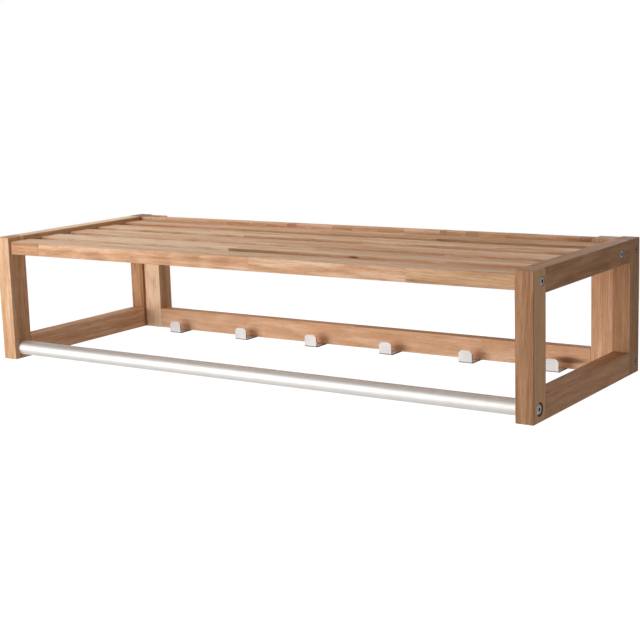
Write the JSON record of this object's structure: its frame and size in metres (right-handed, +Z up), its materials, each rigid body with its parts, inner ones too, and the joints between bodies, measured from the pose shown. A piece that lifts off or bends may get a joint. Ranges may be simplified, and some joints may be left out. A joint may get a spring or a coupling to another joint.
{
  "type": "coat rack",
  "caption": "Wall-hung coat rack: a slatted wooden shelf between two rectangular side frames, with a rail of bent metal hooks below it and a round metal clothes rod in front.",
  "frame": {"origin": "midway between the round entry holes of the two keyhole hanger plates, on the plane of the wall", "axes": "+X along the rack to the right as seen from the room, +Y to the wall, +Z up"},
  "size_m": [1, 0.375, 0.212],
  "materials": {
    "oak": "oiled, edge-glued",
    "dowel_wood": "plain, fluted",
    "rod_metal": "satin anodised",
    "hook_metal": "satin",
    "fastener_metal": "plated"
  },
  "bodies": {
    "root": {"back_frame_dowels": "dowel_wood", "back_rail": "oak", "clothes_rod": "rod_metal", "hanger_screws": "fastener_metal", "hook_1": "hook_metal", "hook_2": "hook_metal", "hook_3": "hook_metal", "hook_4": "hook_metal", "hook_5": "hook_metal", "hook_6": "hook_metal", "hook_rail": "oak", "hook_screws": "fastener_metal", "left_bottom_rail": "oak", "left_frame_dowels": "dowel_wood", "left_front_post": "oak", "left_hanger_plate": "fastener_metal", "left_rear_post": "oak", "left_rod_plug": "fastener_metal", "left_top_rail": "oak", "left_upright": "oak", "right_bottom_rail": "oak", "right_frame_dowels": "dowel_wood", "right_front_post": "oak", "right_hanger_plate": "fastener_metal", "right_rear_post": "oak", "right_rod_plug": "fastener_metal", "right_top_rail": "oak", "right_upright": "oak", "rod_bolts": "fastener_metal", "shelf_bolts": "fastener_metal", "shelf_inserts": "fastener_metal", "slat_1": "oak", "slat_2": "oak", "slat_3": "oak", "slat_4": "oak", "slat_5": "oak", "slat_dowels": "dowel_wood", "upright_bolts": "fastener_metal", "upright_inserts": "fastener_metal"}
  },
  "joints": []
}
